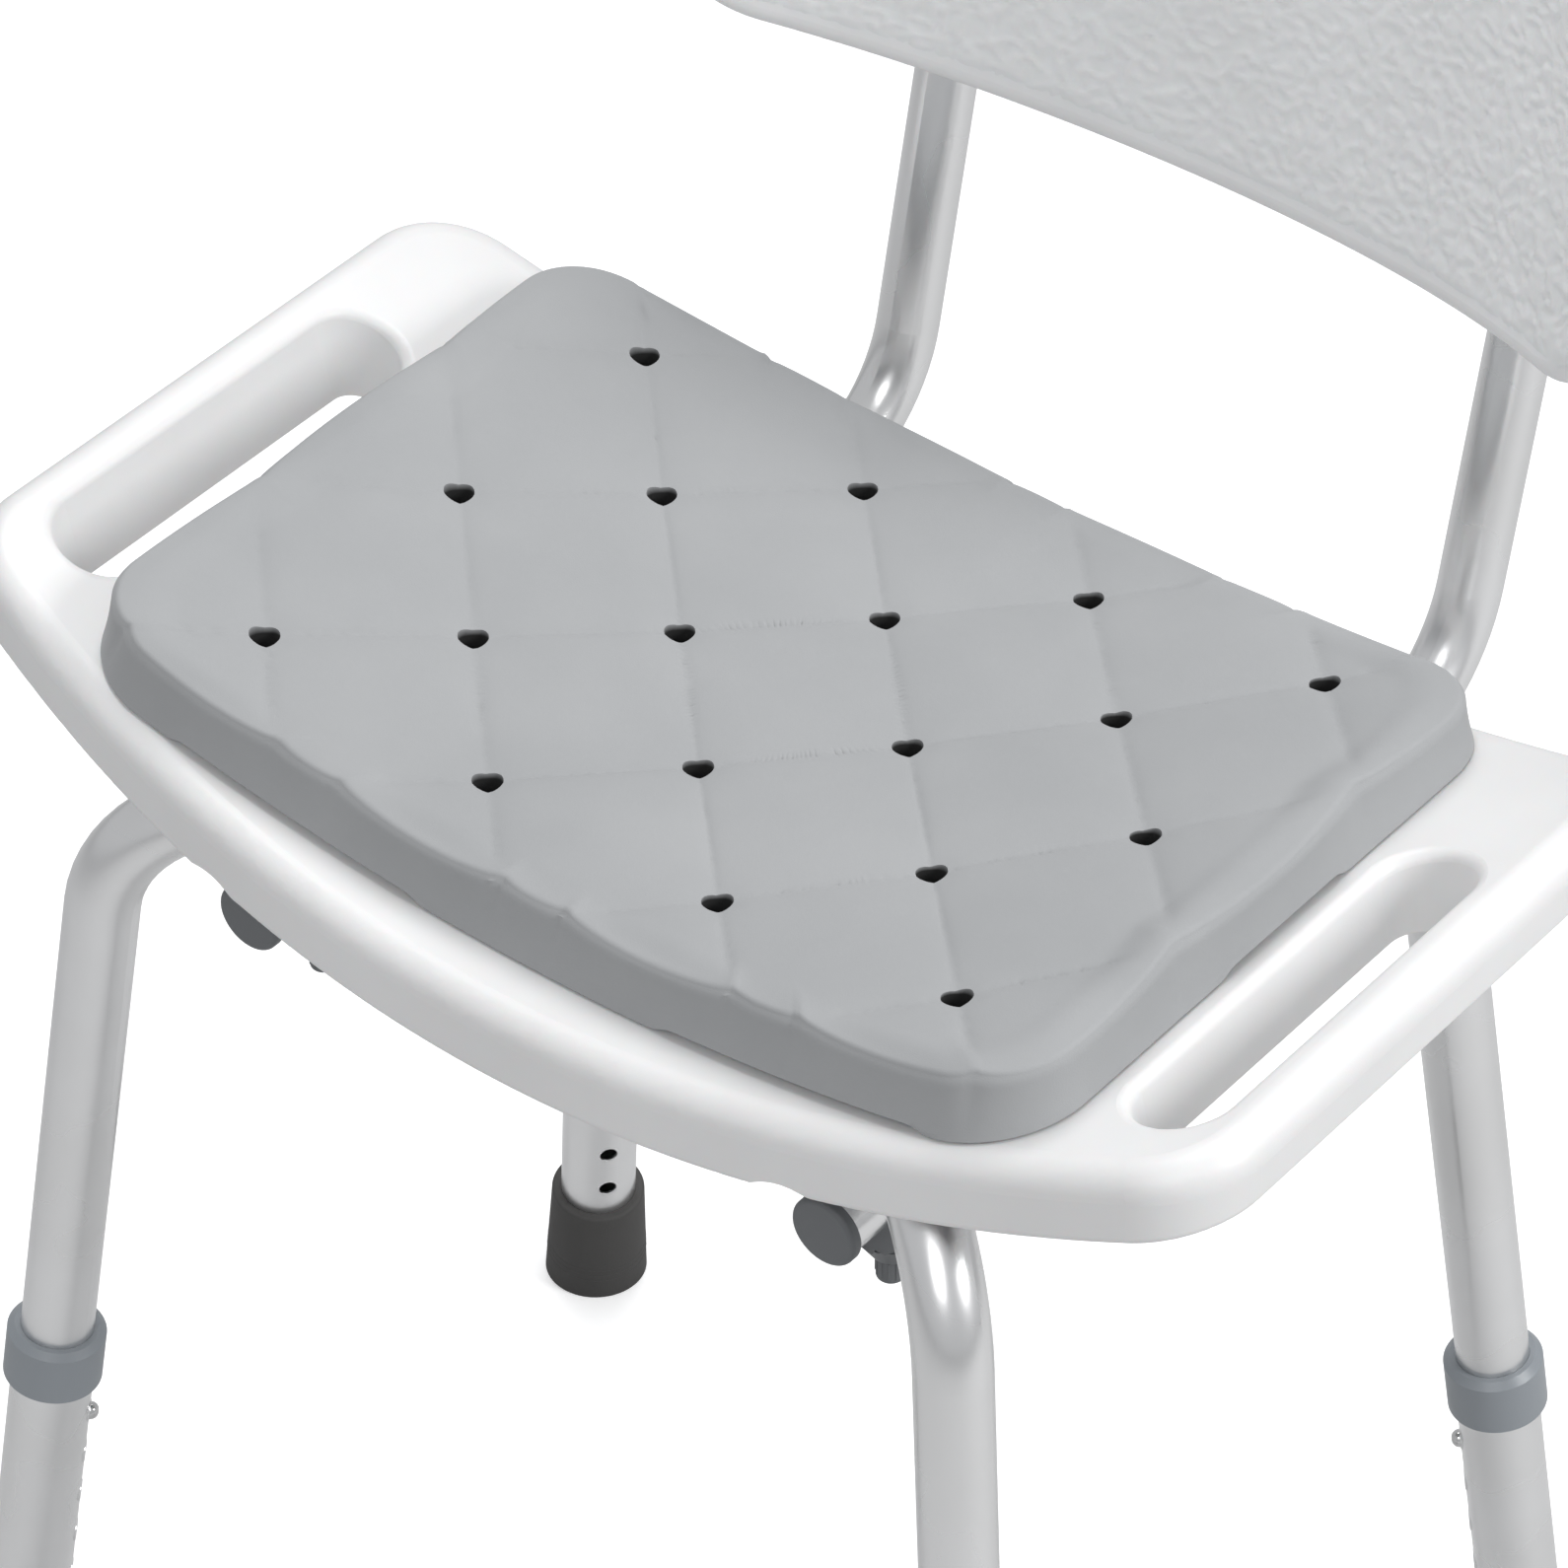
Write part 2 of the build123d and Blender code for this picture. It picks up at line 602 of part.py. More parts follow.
for corner in corners:
    clamp_x, clamp_y = crossing(corner)
    clamp_axis = Vector(clamp_x, clamp_y, 0)

    with BuildPart() as clamp_saddle:
        with BuildSketch(Plane.XZ.offset(-clamp_y)):
            with Locations((clamp_x, (SADDLE_BOTTOM + SADDLE_TOP) / 2)):
                Rectangle(27, SADDLE_TOP - SADDLE_BOTTOM)
                chamfer(vertices().group_by(Axis.Y)[0], 6)
        extrude(amount=13, both=True)
        with BuildSketch(Plane.XZ.offset(-clamp_y)):
            with Locations((clamp_x, BACK_Z)):
                Circle(BACK_R + FIT)
        extrude(amount=20, both=True, mode=Mode.SUBTRACT)
        with Locations((clamp_x, clamp_y, BACK_Z - 20)):
            Cylinder(STUD_HOLE_R, 40, mode=Mode.SUBTRACT)
    write(clamp_saddle.part, f"clamp_saddle_{corner}")

    with BuildPart() as clamp_knob:
        with BuildSketch(Plane(clamp_axis + Vector(0, 0, KNOB_TOP))):
            Circle(KNOB_R)
        with BuildSketch(Plane(clamp_axis + Vector(0, 0, KNOB_WAIST))):
            Circle(6.5)
        loft()
        with BuildSketch(Plane(clamp_axis + Vector(0, 0, KNOB_WAIST))):
            Circle(4.8)
        extrude(amount=KNOB_BOTTOM - KNOB_WAIST)
        fillet(clamp_knob.edges().sort_by(Axis.Z)[0], 1)
        # Finger scallops leave six short lobes
        with BuildSketch(Plane(clamp_axis + Vector(0, 0, KNOB_TOP))):
            with PolarLocations(KNOB_R + 1.5, 6, start_angle=30):
                Circle(4.2)
        extrude(amount=-(KNOB_TOP - KNOB_WAIST), mode=Mode.SUBTRACT)
        with BuildSketch(Plane(clamp_axis + Vector(0, 0, KNOB_TOP))):
            Circle(STUD_R)
        extrude(amount=-16, mode=Mode.SUBTRACT)
    write(clamp_knob.part, f"clamp_knob_{corner}")

    with BuildPart() as clamp_stud:
        with BuildSketch(Plane(clamp_axis + Vector(0, 0, KNOB_TOP - 16))):
            Circle(STUD_R)
        extrude(amount=STUD_TOP - KNOB_TOP + 16)
        chamfer(clamp_stud.edges().sort_by(Axis.Z)[-1], 0.8)
    write(clamp_stud.part, f"clamp_stud_{corner}")

with BuildPart() as seat_inserts:
    for corner in corners:
        insert_x, insert_y = crossing(corner)
        with BuildSketch(Plane((insert_x, insert_y, INSERT_BOTTOM))):
            Circle(INSERT_R)
            Circle(STUD_R + FIT, mode=Mode.SUBTRACT)
        extrude(amount=INSERT_TOP - INSERT_BOTTOM)
write(seat_inserts.part, "seat_inserts")
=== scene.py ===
import json
import logging
import math
from dataclasses import dataclass, field
from enum import Enum
from typing import Iterable, Sequence

import bpy
import numpy as np
from mathutils import Matrix, Vector, noise


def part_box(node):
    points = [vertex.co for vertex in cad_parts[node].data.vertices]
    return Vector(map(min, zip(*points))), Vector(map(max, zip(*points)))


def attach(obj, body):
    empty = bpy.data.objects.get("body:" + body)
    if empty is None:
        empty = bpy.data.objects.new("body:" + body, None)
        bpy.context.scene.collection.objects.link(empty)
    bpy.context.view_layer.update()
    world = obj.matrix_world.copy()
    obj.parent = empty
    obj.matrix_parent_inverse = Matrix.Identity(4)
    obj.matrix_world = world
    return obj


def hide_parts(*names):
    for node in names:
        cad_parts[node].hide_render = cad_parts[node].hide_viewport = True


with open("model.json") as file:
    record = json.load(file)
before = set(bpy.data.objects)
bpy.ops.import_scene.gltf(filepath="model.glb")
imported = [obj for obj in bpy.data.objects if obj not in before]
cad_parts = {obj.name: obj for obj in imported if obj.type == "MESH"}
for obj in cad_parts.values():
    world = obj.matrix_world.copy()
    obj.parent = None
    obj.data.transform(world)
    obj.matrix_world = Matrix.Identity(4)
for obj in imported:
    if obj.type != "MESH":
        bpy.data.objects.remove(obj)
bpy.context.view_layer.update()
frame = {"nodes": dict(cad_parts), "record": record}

LOG = logging.getLogger("shower_chair")
MM = 0.001
CORNERS: dict[str, tuple[int, int]] = {
    "front_left": (-1, -1),
    "front_right": (1, -1),
    "rear_left": (-1, 1),
    "rear_right": (1, 1),
}
SIDES: dict[str, int] = {"left": -1, "right": 1}
Colour = tuple[float, float, float]


# ---- Finishes -----------------------------------------------------------------------------------


class Grain(Enum):
    """How a surface's fine relief is laid out."""

    PEBBLED = "pebbled"
    BRUSHED = "brushed"
    CELLULAR = "cellular"


class Shader:
    """A material being built: makes nodes, links them and sets their inputs."""

    def __init__(self, name: str) -> None:
        """Start an empty material with an output and a principled shader.

        Args:
            name: the material's name.
        """
        self.material = bpy.data.materials.new(name)
        self.material.use_nodes = True
        self.tree = self.material.node_tree
        self.tree.nodes.clear()
        self.surface = self.node("ShaderNodeBsdfPrincipled")
        output = self.node("ShaderNodeOutputMaterial")
        self.link(self.surface.outputs["BSDF"], output.inputs["Surface"])

    def node(self, kind: str, **settings: object) -> bpy.types.Node:
        """Add a node and set its properties."""
        made = self.tree.nodes.new(kind)
        for key, value in settings.items():
            setattr(made, key, value)
        return made

    def link(self, source: bpy.types.NodeSocket, target: bpy.types.NodeSocket) -> None:
        """Join an output to an input."""
        self.tree.links.new(source, target)

    def stretched(self, scale: Sequence[float]) -> bpy.types.NodeSocket:
        """Object coordinates, stretched by a scale along each axis.

        Args:
            scale: the factor along X, Y and Z.

        Returns:
            The vector socket.
        """
        place = self.node("ShaderNodeTexCoord")
        mapping = self.node("ShaderNodeMapping")
        mapping.inputs["Scale"].default_value = tuple(scale)
        self.link(place.outputs["Object"], mapping.inputs["Vector"])
        return mapping.outputs["Vector"]

    def speckle(
        self, scale: float, detail: float, stretch: Sequence[float] = (1, 1, 1)
    ) -> bpy.types.NodeSocket:
        """Soft noise over the surface.

        Args:
            scale: cells per metre.
            detail: octaves.
            stretch: the factor along each axis before the noise is read.

        Returns:
            The noise's value, about 0.3 to 0.7.
        """
        made = self.node("ShaderNodeTexNoise")
        made.inputs["Scale"].default_value = scale
        made.inputs["Detail"].default_value = detail
        self.link(self.stretched(stretch), made.inputs["Vector"])
        return made.outputs["Fac"]

    def cells(self, scale: float) -> bpy.types.NodeSocket:
        """Distance to the nearest point of a cell pattern.

        Args:
            scale: cells per metre.

        Returns:
            The distance socket.
        """
        made = self.node("ShaderNodeTexVoronoi", feature="F1")
        made.inputs["Scale"].default_value = scale
        self.link(self.stretched((1, 1, 1)), made.inputs["Vector"])
        return made.outputs["Distance"]

    def ramp(
        self,
        value: bpy.types.NodeSocket,
        low: Colour,
        high: Colour,
        span: tuple[float, float] = (0.3, 0.7),
    ) -> bpy.types.NodeSocket:
        """Blend two colours by a value.

        Args:
            value: what chooses between them.
            low: the colour at the start of the span.
            high: the colour at its end.
            span: the values where the blend starts and ends.

        Returns:
            The colour socket.
        """
        made = self.node("ShaderNodeValToRGB")
        for stop, colour, at in zip(made.color_ramp.elements, (low, high), span):
            stop.color = (*colour, 1)
            stop.position = at
        self.link(value, made.inputs["Fac"])
        return made.outputs["Color"]

    def paint_shade(self, tone: bpy.types.NodeSocket, mark: str, painted_shade_tone: Colour) -> bpy.types.NodeSocket:
        """Paint shade into a colour: blend a tone to a darker one where a surface attribute says so.

        Args:
            tone: the tone elsewhere.
            mark: the attribute's name.
            painted_shade_tone: the dark tone painted where the attribute is 1, standing in for shade.

        Returns:
            The colour socket.
        """
        marked = self.node("ShaderNodeAttribute", attribute_name=mark)
        made = self.node("ShaderNodeMix", data_type="RGBA")
        self.link(marked.outputs["Fac"], made.inputs[0])
        self.link(tone, made.inputs[6])
        made.inputs[7].default_value = (*painted_shade_tone, 1)
        return made.outputs[2]

    def between(self, value: bpy.types.NodeSocket, low: float, high: float) -> bpy.types.NodeSocket:
        """Map noise of about 0.3 to 0.7 onto a range of numbers."""
        made = self.node("ShaderNodeMapRange")
        for name, number in (("From Min", 0.3), ("From Max", 0.7), ("To Min", low), ("To Max", high)):
            made.inputs[name].default_value = number
        self.link(value, made.inputs["Value"])
        return made.outputs["Result"]

    def bump(
        self,
        height: bpy.types.NodeSocket,
        depth: float,
        below: bpy.types.NodeSocket | None = None,
    ) -> bpy.types.NodeSocket:
        """Relief of a stated depth in metres, on top of another relief if given.

        Args:
            height: the pattern, 0 to 1.
            depth: its depth in metres.
            below: the normal that this relief stands on.

        Returns:
            The normal socket.
        """
        made = self.node("ShaderNodeBump")
        made.inputs["Strength"].default_value = 1.0
        made.inputs["Distance"].default_value = depth
        self.link(height, made.inputs["Height"])
        if below is not None:
            self.link(below, made.inputs["Normal"])
        return made.outputs["Normal"]

    def constant(self, name: str, value: float) -> None:
        """Set a number on the shader's own socket."""
        self.surface.inputs[name].default_value = value


@dataclass(frozen=True)
class Finish:
    """A material of the chair: two close tones, a range of gloss and two scales of relief.

    Attributes:
        name: the record's material slot it stands for.
        low: the darker tone.
        high: the lighter tone.
        gloss: the lowest and highest roughness.
        metallic: 1 for bare metal.
        grain: how the fine relief is laid out.
        grain_scale: its cells per metre.
        grain_depth: its depth in metres.
        swell_depth: depth of the slow unevenness of a moulding, in metres.
        coat: weight of a clear top layer.
        sheen: weight of soft edge light, as on foam.
        subsurface: weight of light that goes into a plastic.
        painted_shade_mark: the surface attribute that marks where shade is painted into the finish's colour,
            if any.
        painted_shade_tone: the dark tone painted there, standing in for shade.
    """

    name: str
    low: Colour
    high: Colour
    gloss: tuple[float, float]
    metallic: float = 0.0
    grain: Grain = Grain.PEBBLED
    grain_scale: float = 1500.0
    grain_depth: float = 0.00003
    swell_depth: float = 0.0001
    coat: float = 0.0
    sheen: float = 0.0
    subsurface: float = 0.0
    painted_shade_mark: str = ""
    painted_shade_tone: Colour = (0.012, 0.012, 0.012)

    def build(self) -> bpy.types.Material:
        """Make the material.

        Returns:
            The finished material.
        """
        shader = Shader(self.name)
        patch = shader.speckle(14.0, 3.0)
        brushed = self.grain is Grain.BRUSHED
        stretch = (1, 1, 0.02) if brushed else (1, 1, 1)
        fine = shader.speckle(self.grain_scale, 2.0, stretch)
        if self.grain is Grain.CELLULAR:
            fine = shader.cells(self.grain_scale)
        tone = shader.ramp(patch, self.low, self.high)
        # Painted shade: where the mask is set, the tone blends to a near-black one standing in for shadow.
        if self.painted_shade_mark:
            tone = shader.paint_shade(tone, self.painted_shade_mark, self.painted_shade_tone)
        shader.link(tone, shader.surface.inputs["Base Color"])
        rough = shader.between(fine if brushed else patch, *self.gloss)
        shader.link(rough, shader.surface.inputs["Roughness"])
        swell = shader.bump(shader.speckle(22.0, 1.0), self.swell_depth)
        relief = shader.bump(fine, self.grain_depth, swell)
        shader.link(relief, shader.surface.inputs["Normal"])
        shader.constant("Metallic", self.metallic)
        shader.constant("Coat Weight", self.coat)
        shader.constant("Sheen Weight", self.sheen)
        shader.constant("Subsurface Weight", self.subsurface)
        shader.constant("Subsurface Scale", 0.004)
        return shader.material


def grey(value: float, warm: float = 0.0) -> Colour:
    """A near-neutral tone; warm above 0 leans to red, below 0 to blue."""
    return (value * (1 + warm), value, value * (1 - warm))


FINISHES: tuple[Finish, ...] = (
    Finish("seat_plastic", grey(0.70, 0.002), grey(0.745, 0.0), (0.36, 0.46), grain_scale=1300,
           grain_depth=0.00002, swell_depth=0.00012, subsurface=0.12),
    # The backrest's tones are set lighter than the seat's: partly a whiter plastic, partly painted light
    # standing in for more light falling on the backrest.
    Finish("backrest_plastic", grey(0.82), grey(0.86), (0.38, 0.50), grain_scale=1600,
           grain_depth=0.00002, swell_depth=0.0001, subsurface=0.08),
    # The foam's drain-hole walls carry painted shade: a near-black tone for the shadow inside the holes.
    Finish("foam", grey(0.315, -0.022), grey(0.35, -0.018), (0.72, 0.86), grain=Grain.CELLULAR,
           grain_scale=1900, grain_depth=0.00003, swell_depth=0.00035, sheen=0.12, painted_shade_mark="drain"),
    Finish("aluminium", grey(0.80), grey(0.87, -0.004), (0.24, 0.31), metallic=1.0, grain_scale=2600,
           grain_depth=0.0000008, swell_depth=0.000012),
    Finish("grey_plastic", grey(0.115, -0.05), grey(0.145, -0.05), (0.42, 0.56), grain_scale=1800),
    Finish("collar_plastic", grey(0.255, -0.08), grey(0.295, -0.08), (0.34, 0.46), grain_scale=1800),
    Finish("rubber", grey(0.038, 0.03), grey(0.052, 0.03), (0.55, 0.72), grain=Grain.CELLULAR,
           grain_scale=1400, grain_depth=0.00004),
    Finish("chrome", grey(0.62), grey(0.70), (0.05, 0.12), metallic=1.0, grain_depth=0.000002,
           swell_depth=0.000005),
    Finish("steel", grey(0.48), grey(0.56), (0.26, 0.40), metallic=1.0, grain=Grain.BRUSHED,
           grain_scale=1800, grain_depth=0.000006, swell_depth=0.00001),
    Finish("brass", (0.62, 0.46, 0.20), (0.70, 0.53, 0.25), (0.25, 0.38), metallic=1.0,
           grain_depth=0.000006, swell_depth=0.00001),
)


class Finishes:
    """The chair's materials, one for each slot of the record."""

    def __init__(self) -> None:
        """Build every finish once."""
        self.made = {finish.name: finish.build() for finish in FINISHES}

    def __getitem__(self, slot: str) -> bpy.types.Material:
        """The material of a slot."""
        return self.made[slot]

    def dress_frame(self) -> None:
        """Give each CAD node the finish that the record names for it."""
        for row in frame["record"]["subparts"]:
            node = frame["nodes"][row["node"]]
            for place in node.material_slots:
                place.material = self.made[row["material_slot"]]


# ---- Mesh and node tools ------------------------------------------------------------------------


def make_object(
    name: str,
    points: np.ndarray,
    faces: Iterable[Sequence[int]],
    material: bpy.types.Material,
) -> bpy.types.Object:
    """Make a mesh object at the origin with smooth faces.

    Args:
        name: the piece's name.
        points: vertex places in metres.
        faces: vertex numbers of each face, anticlockwise seen from outside.
        material: its only material.

    Returns:
        The object, linked into the scene.
    """
    mesh = bpy.data.meshes.new(name)
    mesh.from_pydata([tuple(p) for p in points], [], [tuple(f) for f in faces])
    mesh.materials.append(material)
    mesh.polygons.foreach_set("use_smooth", [True] * len(mesh.polygons))
    mesh.update()
    made = bpy.data.objects.new(name, mesh)
    bpy.context.scene.collection.objects.link(made)
    return made


def bake(made: bpy.types.Object) -> bpy.types.Object:
    """Turn an object's evaluated shape into its plain mesh and drop its modifiers.

    Args:
        made: the object with live modifiers.

    Returns:
        The same object.
    """
    graph = bpy.context.evaluated_depsgraph_get()
    graph.update()
    mesh = bpy.data.meshes.new_from_object(made.evaluated_get(graph))
    made.modifiers.clear()
    made.data = mesh
    return made


def crease(made: bpy.types.Object, degrees: float = 40.0) -> None:
    """Shade smooth, but keep edges sharper than an angle."""
    made.data.polygons.foreach_set("use_smooth", [True] * len(made.data.polygons))
    made.data.set_sharp_from_angle(angle=math.radians(degrees))


def ring_faces(rings: int, around: int) -> list[tuple[int, int, int, int]]:
    """Quads between successive closed rings of vertices.

    Args:
        rings: how many rings.
        around: vertices in each.

    Returns:
        The faces.
    """
    faces = []
    for row in range(rings - 1):
        for step in range(around):
            after = (step + 1) % around
            low, high = row * around, (row + 1) * around
            faces.append((low + step, low + after, high + after, high + step))
    return faces


class NodeRecipe:
    """A Geometry Nodes tree being built, with named inputs."""

    def __init__(self, name: str, inputs: dict[str, tuple[str, object]]) -> None:
        """Start a tree with a geometry input, the stated inputs and a geometry output.

        Args:
            name: the tree's name.
            inputs: for each input, its socket type and default value.
        """
        self.tree = bpy.data.node_groups.new(name, "GeometryNodeTree")
        face = self.tree.interface
        face.new_socket("Geometry", in_out="INPUT", socket_type="NodeSocketGeometry")
        self.sockets: dict[str, str] = {}
        for label, (kind, value) in inputs.items():
            made = face.new_socket(label, in_out="INPUT", socket_type=kind)
            if value is not None:
                made.default_value = value
            self.sockets[label] = made.identifier
        face.new_socket("Geometry", in_out="OUTPUT", socket_type="NodeSocketGeometry")
        self.start = self.tree.nodes.new("NodeGroupInput")
        self.end = self.tree.nodes.new("NodeGroupOutput")

    def node(
        self,
        kind: str,
        links: dict[str, bpy.types.NodeSocket] | None = None,
        **settings: object,
    ) -> bpy.types.Node:
        """Add a node, set its properties or input defaults and link its inputs.

        Args:
            kind: the node's type.
            links: the outputs to join to its named inputs.
            settings: properties, or input defaults under the input's name with _ for a space.

        Returns:
            The node.
        """
        made = self.tree.nodes.new(kind)
        for key, value in settings.items():
            if hasattr(made, key):
                setattr(made, key, value)
            else:
                made.inputs[key.replace("_", " ")].default_value = value
        for key, source in (links or {}).items():
            self.tree.links.new(source, made.inputs[key])
        return made

    def finish(self, geometry: bpy.types.NodeSocket, material: bpy.types.NodeSocket) -> None:
        """End the tree in Realize Instances and Set Material."""
        real = self.node("GeometryNodeRealizeInstances", {"Geometry": geometry})
        dressed = self.node(
            "GeometryNodeSetMaterial", {"Geometry": real.outputs[0], "Material": material}
        )
        self.tree.links.new(dressed.outputs[0], self.end.inputs[0])

    def apply(self, made: bpy.types.Object, values: dict[str, object]) -> bpy.types.Object:
        """Run the tree on an object and keep the result as its plain mesh.

        Args:
            made: the object whose mesh is the tree's input.
            values: the inputs to set, by label.

        Returns:
            The same object.
        """
        modifier = made.modifiers.new(self.tree.name, "NODES")
        modifier.node_group = self.tree
        for label, value in values.items():
            modifier[self.sockets[label]] = value
        return bake(made)


def ring_on_points_recipe() -> NodeRecipe:
    """A tree that puts a small round bead at each vertex, facing along the vertex's stored direction.

    Returns:
        The recipe, with inputs Radius, Bead and Material.
    """
    recipe = NodeRecipe(
        "bead_rings",
        {
            "Radius": ("NodeSocketFloat", 0.0036),
            "Bead": ("NodeSocketFloat", 0.0005),
            "Material": ("NodeSocketMaterial", None),
        },
    )
    given = recipe.start.outputs
    circle = recipe.node("GeometryNodeCurvePrimitiveCircle", {"Radius": given["Radius"]}, Resolution=24)
    section = recipe.node("GeometryNodeCurvePrimitiveCircle", {"Radius": given["Bead"]}, Resolution=8)
    bead = recipe.node(
        "GeometryNodeCurveToMesh", {"Curve": circle.outputs[0], "Profile Curve": section.outputs[0]}
    )
    facing = recipe.node("GeometryNodeInputNamedAttribute", data_type="FLOAT_VECTOR", Name="facing")
    turned = recipe.node(
        "FunctionNodeAlignRotationToVector", {"Vector": facing.outputs["Attribute"]}, axis="Z"
    )
    placed = recipe.node(
        "GeometryNodeInstanceOnPoints",
        {
            "Points": given["Geometry"],
            "Instance": bead.outputs[0],
            "Rotation": turned.outputs[0],
        },
    )
    recipe.finish(placed.outputs[0], given["Material"])
    return recipe


def stacked_rings_recipe() -> NodeRecipe:
    """A tree that stacks round ribs along Z, each wider than the last by a fixed step.

    Returns:
        The recipe, with inputs Count, Pitch, Radius, Flare, Bead and Material.
    """
    recipe = NodeRecipe(
        "stacked_rings",
        {
            "Count": ("NodeSocketInt", 3),
            "Pitch": ("NodeSocketFloat", 0.004),
            "Radius": ("NodeSocketFloat", 0.019),
            "Flare": ("NodeSocketFloat", 0.0002),
            "Bead": ("NodeSocketFloat", 0.0006),
            "Material": ("NodeSocketMaterial", None),
        },
    )
    given = recipe.start.outputs
    step = recipe.node("ShaderNodeCombineXYZ", {"Z": given["Pitch"]})
    line = recipe.node("GeometryNodeMeshLine", {"Count": given["Count"], "Offset": step.outputs[0]})
    circle = recipe.node("GeometryNodeCurvePrimitiveCircle", {"Radius": given["Radius"]}, Resolution=48)
    section = recipe.node("GeometryNodeCurvePrimitiveCircle", {"Radius": given["Bead"]}, Resolution=8)
    bead = recipe.node(
        "GeometryNodeCurveToMesh", {"Curve": circle.outputs[0], "Profile Curve": section.outputs[0]}
    )
    index = recipe.node("GeometryNodeInputIndex")
    share = recipe.node("ShaderNodeMath", {0: given["Flare"], 1: given["Radius"]}, operation="DIVIDE")
    grown = recipe.node("ShaderNodeMath", {0: index.outputs[0], 1: share.outputs[0]}, operation="MULTIPLY")
    scale = recipe.node("ShaderNodeMath", {0: grown.outputs[0]}, operation="ADD")
    scale.inputs[1].default_value = 1.0
    flat = recipe.node("ShaderNodeCombineXYZ", {"X": scale.outputs[0], "Y": scale.outputs[0]}, Z=1.0)
    placed = recipe.node(
        "GeometryNodeInstanceOnPoints",
        {"Points": line.outputs[0], "Instance": bead.outputs[0], "Scale": flat.outputs[0]},
    )
    recipe.finish(placed.outputs[0], given["Material"])
    return recipe


def polar_ribs_recipe() -> NodeRecipe:
    """A tree that stands slim rounded ribs in a circle round Z.

    Returns:
        The recipe, with inputs Count, Radius, Height, Bead and Material.
    """
    recipe = NodeRecipe(
        "polar_ribs",
        {
            "Count": ("NodeSocketInt", 12),
            "Radius": ("NodeSocketFloat", 0.0047),
            "Height": ("NodeSocketFloat", 0.008),
            "Bead": ("NodeSocketFloat", 0.0004),
            "Material": ("NodeSocketMaterial", None),
        },
    )
    given = recipe.start.outputs
    circle = recipe.node(
        "GeometryNodeMeshCircle", {"Vertices": given["Count"], "Radius": given["Radius"]}
    )
    rib = recipe.node(
        "GeometryNodeMeshCylinder", {"Radius": given["Bead"], "Depth": given["Height"]}, Vertices=8
    )
    placed = recipe.node(
        "GeometryNodeInstanceOnPoints",
        {"Points": circle.outputs[0], "Instance": rib.outputs["Mesh"]},
    )
    recipe.finish(placed.outputs[0], given["Material"])
    return recipe


# ---- Foam pad -----------------------------------------------------------------------------------


